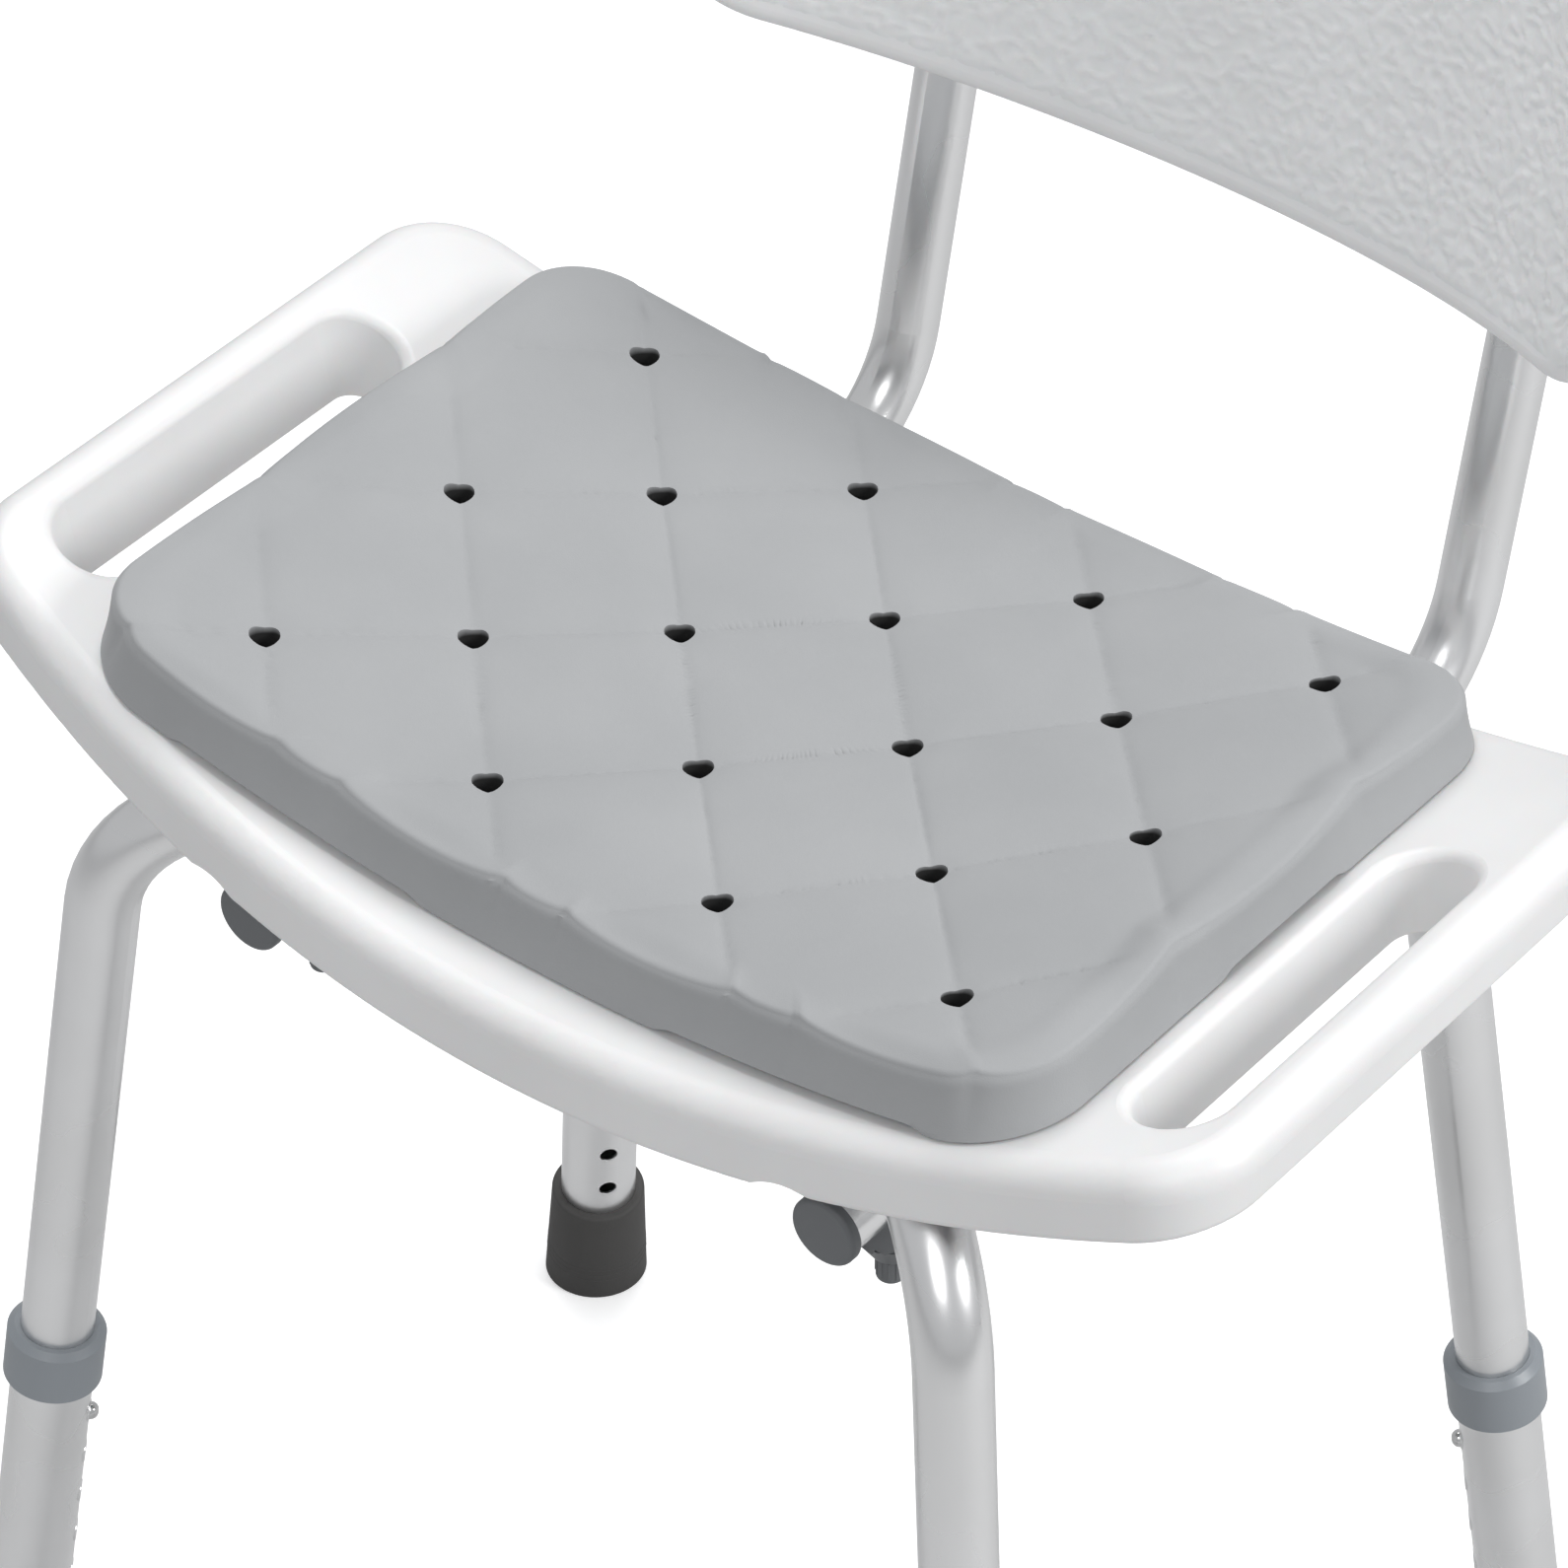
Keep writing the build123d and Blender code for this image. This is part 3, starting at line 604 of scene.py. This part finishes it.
@dataclass
class FoamPad:
    """The quilted foam pad, in metres.

    Attributes:
        dish_radius: radius of the seat's dish, which the pad follows.
        thickness: from the seat to the middle of the pad.
        pitch_x: spacing of the drain holes' columns.
        pitch_y: half the spacing of the holes in a column.
        pillow: how far each quilted diamond stands above its seams.
        hole: width of a drain hole.
        draft: how far the wall leans out at the bottom.
        drain_lip: depth below the top at which a drain hole's wall, painted dark as shade, starts.
        rim_dip: how far the rim dips between the ends of the seams.
        rim_wave: how far the rim bulges out there.
        hole_turn: angle of a drain hole's point from the front.
        rim_half_width: half the width of the top rim.
        corner: radius of the rim's corners.
        around: points round the rim.
        inner_rings: rings of points from the rim to the middle.
        arch: how far the bottom edge arches clear of the seat.
        roll: radius of the edge between the wall and the top.
        seat_top: height of the seat at its lowest line.
        middle_y: the pad's middle, front to rear.
        front: its front edge.
        rear: its rear edge.
    """

    dish_radius: float = 0.714
    thickness: float = 0.024
    pitch_x: float = 0.0465
    pitch_y: float = 0.04785
    pillow: float = 0.0032
    hole: float = 0.0100
    hole_turn: float = math.radians(44)
    draft: float = 0.0055
    drain_lip: float = 0.0012
    rim_dip: float = 0.0030
    rim_wave: float = 0.0046
    rim_half_width: float = 0.1875
    corner: float = 0.028
    around: int = 640
    inner_rings: int = 112
    arch: float = 0.0026
    roll: float = 0.0024
    seat_top: float = field(init=False)
    middle_y: float = field(init=False)
    front: float = field(init=False)
    rear: float = field(init=False)

    def __post_init__(self) -> None:
        """Read the pad's place from the frame."""
        low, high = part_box("seat_pad")
        self.seat_top = low.z
        self.front = low.y
        self.rear = high.y
        self.middle_y = (low.y + high.y) / 2 + 0.002

    def dish(self, x: np.ndarray) -> np.ndarray:
        """Rise of the seat's dish at each distance from the middle."""
        return self.dish_radius - np.sqrt(self.dish_radius**2 - x**2)

    def outline(self, grow: float) -> np.ndarray:
        """The rim seen from above, as a closed run of evenly spaced points.

        Args:
            grow: how far to set it out from the top rim.

        Returns:
            Points as rows of x and y, anticlockwise.
        """
        half = self.rim_half_width + grow
        front = self.front + 0.004 - grow
        rear = self.rear + 0.001 + grow
        radius = self.corner + grow
        rear_bow = 0.012
        path: list[tuple[float, float]] = []
        centres = (
            (half - radius, front + radius, -90),
            (half - radius, rear - rear_bow - radius, 0),
            (radius - half, rear - rear_bow - radius, 90),
            (radius - half, front + radius, 180),
        )
        for x, y, start in centres:
            for turn in np.linspace(start, start + 90, 24):
                angle = math.radians(turn)
                path.append((x + radius * math.cos(angle), y + radius * math.sin(angle)))
            if start == 0:
                for share in np.linspace(0, 1, 26)[1:-1]:
                    across = (half - radius) * (1 - 2 * share)
                    bow = rear_bow * (1 - (across / (half - radius)) ** 2)
                    path.append((across, rear - rear_bow + bow))
        run = np.array(path + path[:1])
        length = np.r_[0, np.cumsum(np.hypot(*np.diff(run, axis=0).T))]
        even = np.linspace(0, length[-1], self.around, endpoint=False)
        return np.stack([np.interp(even, length, run[:, 0]), np.interp(even, length, run[:, 1])], 1)

    def quilting(self, x: np.ndarray, y: np.ndarray) -> np.ndarray:
        """How high the surface stands at each point: 0 in a seam, 1 in the middle of a diamond."""
        along = (x / self.pitch_x + (y - self.middle_y) / self.pitch_y) / 2
        across = (x / self.pitch_x - (y - self.middle_y) / self.pitch_y) / 2
        return (np.abs(np.cos(np.pi * along)) * np.abs(np.cos(np.pi * across))) ** 0.38

    def holes(self) -> list[tuple[float, float]]:
        """Where the drain holes are: the crossings of the seams that lie well inside the rim."""
        found = []
        for column in range(-3, 4):
            for row in range(-2, 3):
                if (column + row) % 2:
                    found.append((column * self.pitch_x, self.middle_y + row * self.pitch_y))
        return found

    def crest(self, rim: np.ndarray) -> np.ndarray:
        """Height of the rim: it dips between the ends of the seams."""
        level = self.seat_top + self.thickness + self.dish(rim[:, 0])
        return level - self.rim_dip * (self.quilting(rim[:, 0], rim[:, 1]) - 0.3)

    def top(self, x: np.ndarray, y: np.ndarray) -> np.ndarray:
        """Height of the pad's top surface at each point."""
        high = self.seat_top + self.thickness + self.dish(x)
        high = high + self.pillow * (self.quilting(x, y) - 0.75)
        for hole_x, hole_y in self.holes():
            away = np.hypot(x - hole_x, y - hole_y)
            high = high - 0.0011 * np.exp(-((away / 0.0075) ** 2))
        return high

    def lifted(self, point: np.ndarray) -> np.ndarray:
        """How far the bottom edge is arched clear of the seat.

        Args:
            point: places along the bottom edge, as rows of x and y.

        Returns:
            The lift at each place.
        """
        x, y = point[:, 0], point[:, 1]

        def span(value: np.ndarray, low: float, high: float) -> np.ndarray:
            """1 between low and high, 0 outside, with soft ends."""
            edge = 0.005
            return 1 / (1 + np.exp(-(value - low) / edge * 4)) / (1 + np.exp((value - high) / edge * 4))

        off_middle = np.abs(y - self.middle_y)
        along_ends = span(np.abs(x - 0.0065), 0.05, 0.150)
        along_sides = span(off_middle, -1, 0.03)
        return self.arch * np.where(off_middle > 0.11, along_ends, along_sides)

    def build(self, finishes: Finishes) -> bpy.types.Object:
        """Build the pad.

        Args:
            finishes: the chair's materials.

        Returns:
            The pad, which stands for its CAD solid.
        """
        centre = np.array([0.0, self.middle_y])
        rim = self.outline(0)
        foot = self.outline(self.draft)
        scallop = self.quilting(rim[:, 0], rim[:, 1])
        outward = rim - centre
        outward = outward / np.linalg.norm(outward, axis=1)[:, None]
        rim = rim + outward * (self.rim_wave * (scallop - 0.7))[:, None]
        lift = self.lifted(foot)
        rings: list[np.ndarray] = []

        def ring(plan: np.ndarray, height: np.ndarray) -> None:
            """Add one ring of points."""
            rings.append(np.column_stack([plan, height]))

        # Underside, from the middle out
        under = self.seat_top + self.dish(foot[:, 0])
        for share in np.linspace(0.04, 1, 12)[:-1]:
            plan = centre + (foot - centre) * share * 0.985
            ring(plan, self.seat_top + self.dish(plan[:, 0]) + 0.0004)
        ring(centre + (foot - centre) * 0.985, self.seat_top + self.dish(foot[:, 0]) + 0.0004 + lift * 0.9)
        ring(foot - outward * 0.0008, under + 0.0002 + lift)
        # Wall, slightly hollow, up to a rounded rim
        crest = self.crest(rim)
        for share in (0.03, 0.1, 0.22, 0.38, 0.55, 0.7, 0.8):
            plan = foot + (rim - foot) * (share + 0.10 * math.sin(math.pi * share))
            ring(plan, under + lift + (crest - self.roll - under - lift) * share / 0.8)
        for turn in (15, 35, 55, 75):
            angle = math.radians(turn)
            plan = rim - outward * self.roll * (1 - math.cos(angle))
            ring(plan, crest - self.roll * (1 - math.sin(angle)))
        # Top, from the rim in
        inner = rim - outward * 0.0026
        for share in np.linspace(1, 0.012, self.inner_rings):
            plan = centre + (inner - centre) * share
            high = self.top(plan[:, 0], plan[:, 1])
            blend = np.clip((1 - share) / 0.09, 0, 1)
            blend = blend * blend * (3 - 2 * blend)
            ring(plan, high * blend + crest * (1 - blend))
        points = np.concatenate([np.vstack(rings), [[*centre, self.seat_top + 0.0004]],
                                 [[*centre, self.top(np.array([0.0]), np.array([self.middle_y]))[0]]]])
        faces: list[Sequence[int]] = list(ring_faces(len(rings), self.around))
        bottom_pole, top_pole = len(points) - 2, len(points) - 1
        last = (len(rings) - 1) * self.around
        for step in range(self.around):
            after = (step + 1) % self.around
            faces.append((after, step, bottom_pole))
            faces.append((last + step, last + after, top_pole))
        pad = make_object("foam_pad", points, faces, finishes["foam"])
        self.cut_drains(pad, finishes)
        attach(pad, "pad")
        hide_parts("seat_pad")
        LOG.info("foam pad: %d faces", len(pad.data.polygons))
        return pad

    def cut_drains(self, pad: bpy.types.Object, finishes: Finishes) -> None:
        """Cut the drain holes, each rounded at the back and drawn to a point at the front.

        Args:
            pad: the pad without its holes.
            finishes: the chair's materials.
        """
        sides = 28
        points: list[np.ndarray] = []
        faces: list[Sequence[int]] = []
        turn = np.linspace(0, 2 * np.pi, sides, endpoint=False)
        across = 0.2 * np.sin(turn) ** 3 + 0.82 * np.sin(turn)
        along = (13 * np.cos(turn) - 1.7 * np.cos(2 * turn) - 0.5 * np.cos(3 * turn)) / 14
        cosine, sine = math.cos(self.hole_turn), math.sin(self.hole_turn)
        for hole_x, hole_y in self.holes():
            start = len(points) * sides
            top = self.top(np.array([hole_x]), np.array([hole_y]))[0]
            levels = (self.seat_top - 0.02, top - self.drain_lip, top + 0.02)
            for high in levels:
                plan_x = hole_x + (-across * cosine - along * sine) * self.hole / 2
                plan_y = hole_y + (along * cosine - across * sine) * self.hole / 2
                points.append(np.column_stack([plan_x, plan_y, np.full(sides, high)]))
            for level in range(len(levels) - 1):
                for step in range(sides):
                    low = start + level * sides
                    after = (step + 1) % sides
                    faces.append((low + step, low + after, low + sides + after, low + sides + step))
            faces.append(tuple(start + step for step in reversed(range(sides))))
            last = start + (len(levels) - 1) * sides
            faces.append(tuple(last + step for step in range(sides)))
        cutter = make_object("drain_cutter", np.vstack(points), faces, finishes["foam"])
        modifier = pad.modifiers.new("drains", "BOOLEAN")
        modifier.operation = "DIFFERENCE"
        modifier.solver = "EXACT"
        modifier.object = cutter
        bake(pad)
        bpy.data.objects.remove(cutter)
        crease(pad, 50)
        self.paint_drain_shade(pad)

    def paint_drain_shade(self, pad: bpy.types.Object) -> None:
        """Mark the walls of the drain holes, where the foam's finish paints a near-black tone standing in
        for the shadow inside the holes.

        Args:
            pad: the pad with its holes.
        """
        count = len(pad.data.vertices)
        place = np.empty(count * 3)
        pad.data.vertices.foreach_get("co", place)
        place = place.reshape(-1, 3)
        depth = self.top(place[:, 0], place[:, 1]) - place[:, 2]
        near = np.full(count, 1.0)
        for hole_x, hole_y in self.holes():
            near = np.minimum(near, np.hypot(place[:, 0] - hole_x, place[:, 1] - hole_y))
        # Painted shade: walls below the lip near a hole get the mark, so they render near-black as if in
        # shadow.
        inside = (near < self.hole * 0.62) & (depth > self.drain_lip * 0.7)
        mark = pad.data.attributes.new("drain", "FLOAT", "POINT")
        mark.data.foreach_set("value", inside.astype(float))


# ---- Backrest -----------------------------------------------------------------------------------


@dataclass
class BackrestGrain:
    """The embossed front of the backrest: a thin skin of real relief over the CAD panel, in metres.

    Attributes:
        lean: how far the back tubes lean.
        radius: radius of the panel's front face.
        half_width: half the panel's width.
        height: the panel's height in the middle.
        edge_rise: how far its bottom edge rises at the ends.
        edge_drop: how far its top edge falls at the ends.
        margin: plain border round the grain.
        relief: depth of the grain.
        seed: fixes the noise, which would otherwise change each run.
        across: steps across the skin.
        up: steps up it.
        tube: radius of a back tube.
        tip_height: from the panel's lowest line to the top of a tube.
        face: the front face in front of the tubes' axes.
        back: the direction square to the panel, to the rear.
        upward: the direction up the panel.
        origin: the middle of the panel's lowest line.
    """

    lean: float = math.radians(11.9)
    radius: float = 0.280
    half_width: float = 0.192
    height: float = 0.202
    edge_rise: float = 0.018
    edge_drop: float = 0.014
    margin: float = 0.0085
    relief: float = 0.0009
    seed: int = 7
    across: int = 300
    up: int = 150
    tube: float = 0.0111
    tip_height: float = 0.150
    face: float = -0.013
    back: Vector = field(init=False)
    upward: Vector = field(init=False)
    origin: Vector = field(init=False)

    def __post_init__(self) -> None:
        """Fix the noise, and read the panel's place from the tubes that hold it."""
        noise.seed_set(self.seed)
        self.back = Vector((0, math.cos(self.lean), -math.sin(self.lean)))
        self.upward = Vector((0, math.sin(self.lean), math.cos(self.lean)))
        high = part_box("back_tube_left")[1]
        tip = Vector((0, high.y, high.z)) - Vector((0, self.upward.z, self.upward.y)) * self.tube
        self.origin = tip - self.upward * self.tip_height

    def place(self, side: float, rise: float, proud: float) -> Vector:
        """A point of the front face in the chair's frame.

        Args:
            side: arc length from the middle, to the right.
            rise: distance up the panel from its lowest point.
            proud: distance in front of the face.

        Returns:
            The point.
        """
        angle = side / self.radius
        reach = self.radius - proud
        depth = self.face - self.radius + reach * math.cos(angle)
        across = Vector((reach * math.sin(angle), 0, 0))
        return self.origin + across + self.back * depth + self.upward * rise

    def pattern(self, side: float, rise: float) -> float:
        """Leather-like relief: short raised worms with narrow valleys, 0 to 1."""
        spot = Vector((side * 190, rise * 190, 3.7))
        warp = noise.noise_vector(spot * 0.55) * 0.9
        ridge = abs(noise.noise(spot + warp))
        second = abs(noise.noise((spot + warp) * 1.9 + Vector((7, 3, 1))))
        return max(0.0, 1 - (ridge * 2.6) ** 1.0) * 0.7 + max(0.0, 1 - second * 3.0) * 0.3

    def build(self, finishes: Finishes) -> bpy.types.Object:
        """Build the skin.

        Args:
            finishes: the chair's materials.

        Returns:
            The skin, which rides with the frame.
        """
        half_arc = self.radius * math.asin(self.half_width / self.radius) - self.margin
        points: list[Vector] = []
        corner = 0.030
        for layer in ("front", "back"):
            for row in range(self.up + 1):
                for column in range(self.across + 1):
                    u = column / self.across * 2 - 1
                    side = half_arc * u
                    x = self.radius * math.sin(side / self.radius)
                    bottom = self.edge_rise * (x / self.half_width) ** 2 + self.margin
                    top = self.height - self.edge_drop * (x / self.half_width) ** 2 - self.margin
                    gone = max(0.0, abs(side) - (half_arc - corner))
                    pinch = corner - math.sqrt(max(corner**2 - gone**2, 0.0))
                    bottom += pinch
                    top -= pinch
                    v = row / self.up
                    rise = bottom + (top - bottom) * v
                    from_edge = min(half_arc - abs(side), rise - bottom, top - rise) / 0.004
                    fade = min(1.0, max(0.0, from_edge))
                    if layer == "front":
                        proud = -0.0003 + fade * (0.00045 + self.relief * self.pattern(side, rise))
                    else:
                        proud = -0.0012
                    points.append(self.place(side, rise, proud))
        wide = self.across + 1
        layer_size = wide * (self.up + 1)
        faces: list[Sequence[int]] = []
        for row in range(self.up):
            for column in range(self.across):
                a = row * wide + column
                faces.append((a, a + 1, a + 1 + wide, a + wide))
                b = a + layer_size
                faces.append((b, b + wide, b + 1 + wide, b + 1))
        edge = list(range(wide))
        edge += [r * wide + self.across for r in range(1, self.up + 1)]
        edge += [self.up * wide + c for c in range(self.across - 1, -1, -1)]
        edge += [r * wide for r in range(self.up - 1, 0, -1)]
        for here, after in zip(edge, edge[1:] + edge[:1]):
            faces.append((here, here + layer_size, after + layer_size, after))
        places = np.array([tuple(point) for point in points])
        skin = make_object("backrest_grain", places, faces, finishes["backrest_plastic"])
        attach(skin, "frame")
        LOG.info("backrest grain: %d faces", len(skin.data.polygons))
        return skin


# ---- Legs and clamps ----------------------------------------------------------------------------


@dataclass
class LegDressing:
    """Beads round the adjustment holes and ribs on the feet of one leg, in metres.

    Attributes:
        corner: which leg.
        diagonal: angle of the legs' plan from X.
        splay: how far the legs lean.
        tube: radius of the lower tube.
        top_hole: height of the highest hole up the leg.
        pitch: spacing of the holes.
        holes: how many.
    """

    corner: str
    diagonal: float = math.radians(36.9)
    splay: float = math.radians(8.0)
    tube: float = 0.0143
    top_hole: float = 0.1828
    pitch: float = 0.020
    holes: int = 7
    foot_top: float = 0.048

    def axes(self) -> Matrix:
        """The leg's own frame: X inward, Z up the leg, origin where its axis meets the floor.

        Returns:
            The matrix from the leg's frame to the chair's.
        """
        side, end = CORNERS[self.corner]
        out = Vector((side * math.cos(self.diagonal), end * math.sin(self.diagonal), 0))
        upward = Vector((0, 0, 1)) * math.cos(self.splay) - out * math.sin(self.splay)
        inward = -out * math.cos(self.splay) - Vector((0, 0, 1)) * math.sin(self.splay)
        across = upward.cross(inward)
        low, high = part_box(f"foot_washer_{self.corner}")
        middle = (low + high) / 2
        ground = middle - upward * (middle.z / upward.z)
        return Matrix(
            (
                (inward.x, across.x, upward.x, ground.x),
                (inward.y, across.y, upward.y, ground.y),
                (inward.z, across.z, upward.z, ground.z),
                (0, 0, 0, 1),
            )
        )

    def build(self, finishes: Finishes, beads: NodeRecipe, ribs: NodeRecipe) -> list[bpy.types.Object]:
        """Build the leg's details.

        Args:
            finishes: the chair's materials.
            beads: the tree that makes a bead at each hole.
            ribs: the tree that stacks ribs.

        Returns:
            The pieces, riding with the leg.
        """
        axes = self.axes()
        inward = axes.to_3x3().col[0]
        lips = np.array(
            [
                tuple(axes @ Vector((self.tube - 0.0003, 0, self.top_hole - step * self.pitch)))
                for step in range(self.holes)
            ]
        )
        rims = make_object(f"hole_rims_{self.corner}", lips, [], finishes["aluminium"])
        facing = rims.data.attributes.new("facing", "FLOAT_VECTOR", "POINT")
        facing.data.foreach_set("vector", [value for _ in lips for value in inward])
        beads.apply(rims, {"Radius": 0.0037, "Bead": 0.00045, "Material": finishes["aluminium"]})
        bands = make_object(f"foot_bands_{self.corner}", np.zeros((1, 3)), [], finishes["rubber"])
        ribs.apply(
            bands,
            {
                "Count": 3,
                "Pitch": -0.0028,
                "Radius": 0.01855,
                "Flare": 0.00011,
                "Bead": 0.00055,
                "Material": finishes["rubber"],
            },
        )
        lift = Matrix.Translation((0, 0, self.foot_top - 0.030))
        bands.data.transform(axes @ lift)
        made = [rims, bands]
        for piece, slot in zip(made, ("aluminium", "rubber")):
            crease(piece)
            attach(piece, f"leg_{self.corner}")
        LOG.info("leg dressing %s", self.corner)
        return made


@dataclass
class KnobGrip:
    """Fine grip ribs round the small end of one clamp knob.

    Attributes:
        corner: which clamp.
        ribs: how many ribs.
    """

    corner: str
    ribs: int = 12

    def build(self, finishes: Finishes, recipe: NodeRecipe) -> bpy.types.Object:
        """Build the ribs.

        Args:
            finishes: the chair's materials.
            recipe: the tree that stands ribs in a circle.

        Returns:
            The ribs, riding with the knob.
        """
        low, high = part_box(f"clamp_knob_{self.corner}")
        grip = make_object(f"knob_ribs_{self.corner}", np.zeros((1, 3)), [], finishes["grey_plastic"])
        recipe.apply(
            grip,
            {
                "Count": self.ribs,
                "Radius": 0.0048,
                "Height": 0.007,
                "Bead": 0.0004,
                "Material": finishes["grey_plastic"],
            },
        )
        grip.data.transform(Matrix.Translation(((low.x + high.x) / 2, (low.y + high.y) / 2, low.z + 0.0055)))
        crease(grip)
        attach(grip, f"knob_{self.corner}")
        LOG.info("knob grip %s", self.corner)
        return grip


# ---- Studio -------------------------------------------------------------------------------------


@dataclass
class Studio:
    """Pale floor, soft lights and the camera.

    Attributes:
        azimuth: turn of the camera from the front, in degrees.
        elevation: its height above the horizon, in degrees.
        distance: from the camera to its target, in metres.
        lens: focal length in millimetres.
        floor_bounce: how much light the floor throws back up.
        floor_glow: extra brightness of the floor in plain view.
        floor_half: half the floor's width.
        floor_drop: how far the floor lies under the feet.
        seat_to_target: from the middle of the seat to the camera's target.
    """

    azimuth: float = 38.548
    elevation: float = 39.979
    distance: float = 2.3115
    lens: float = 168.9
    floor_bounce: float = 0.54
    floor_glow: float = 0.24
    floor_half: float = 9.0
    floor_drop: float = 0.0002
    seat_to_target: Vector = field(default_factory=lambda: Vector((0.0278, -0.0264, 0.0201)))

    def floor(self) -> None:
        """Lay a wide pale floor that looks white but throws little light back up."""
        shader = Shader("studio_floor")
        rays = shader.node("ShaderNodeLightPath")
        tone = shader.node("ShaderNodeMix", data_type="RGBA")
        shader.link(rays.outputs["Is Camera Ray"], tone.inputs[0])
        tone.inputs[6].default_value = (*grey(self.floor_bounce), 1)
        tone.inputs[7].default_value = (*grey(0.97), 1)
        shader.link(tone.outputs[2], shader.surface.inputs["Base Color"])
        glow = shader.node("ShaderNodeMath", operation="MULTIPLY")
        shader.link(rays.outputs["Is Camera Ray"], glow.inputs[0])
        glow.inputs[1].default_value = self.floor_glow
        shader.surface.inputs["Emission Color"].default_value = (1, 1, 1, 1)
        shader.link(glow.outputs[0], shader.surface.inputs["Emission Strength"])
        shader.constant("Roughness", 0.7)
        turns = ((-1, -1), (1, -1), (1, 1), (-1, 1))
        corners = np.array([(x * self.floor_half, y * self.floor_half, -self.floor_drop) for x, y in turns])
        ground = make_object("studio_floor", corners, [(0, 1, 2, 3)], shader.material)

    def light(self, name: str, place: Vector, aim: Vector, size: float, power: float) -> None:
        """Hang one square softbox.

        Args:
            name: the light's name.
            place: where it hangs.
            aim: what it points at.
            size: its side.
            power: its strength in watts.
        """
        data = bpy.data.lights.new(name, "AREA")
        data.shape = "SQUARE"
        data.size = size
        data.energy = power
        lamp = bpy.data.objects.new(name, data)
        lamp.location = place
        lamp.rotation_mode = "QUATERNION"
        lamp.rotation_quaternion = (aim - place).to_track_quat("-Z", "Y")
        bpy.context.scene.collection.objects.link(lamp)

    def build(self) -> None:
        """Set the floor, the lights, the sky and the camera."""
        self.floor()
        low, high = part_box("seat_panel")
        middle = Vector((0, (low.y + high.y) / 2, low.z + 0.032))
        self.light("key", middle + Vector((2.3, 0.6, 1.5)), middle, 0.9, 40)
        self.light("top", middle + Vector((-0.6, 0.7, 2.4)), middle, 1.3, 31)
        self.light("fill", middle + Vector((0.9, -2.0, 1.9)), middle, 1.2, 16)
        world = bpy.data.worlds.new("studio_air")
        world.use_nodes = True
        back = world.node_tree.nodes["Background"]
        back.inputs["Color"].default_value = (0.97, 0.98, 1.0, 1)
        back.inputs["Strength"].default_value = 0.55
        bpy.context.scene.world = world
        bpy.context.scene.view_settings.view_transform = "Standard"
        aim = middle + self.seat_to_target
        turn, rise = math.radians(self.azimuth), math.radians(self.elevation)
        back_off = Vector(
            (math.sin(turn) * math.cos(rise), -math.cos(turn) * math.cos(rise), math.sin(rise))
        )
        data = bpy.data.cameras.new("camera")
        data.lens = self.lens
        data.sensor_width = 36
        data.clip_start, data.clip_end = 0.05, 60
        camera = bpy.data.objects.new("camera", data)
        camera.location = aim + back_off * self.distance
        camera.rotation_mode = "QUATERNION"
        camera.rotation_quaternion = (-back_off).to_track_quat("-Z", "Y")
        bpy.context.scene.collection.objects.link(camera)
        bpy.context.scene.camera = camera
        LOG.info("studio set")


def main() -> None:
    """Build the chair's looks in order and report each piece."""
    logging.basicConfig(level=logging.INFO)
    finishes = Finishes()
    finishes.dress_frame()
    Studio().build()
    FoamPad().build(finishes)
    BackrestGrain().build(finishes)
    beads = ring_on_points_recipe()
    ribs = stacked_rings_recipe()
    polar = polar_ribs_recipe()
    for corner in CORNERS:
        LegDressing(corner).build(finishes, beads, ribs)
        KnobGrip(corner).build(finishes, polar)


if __name__ == "__main__":
    main()
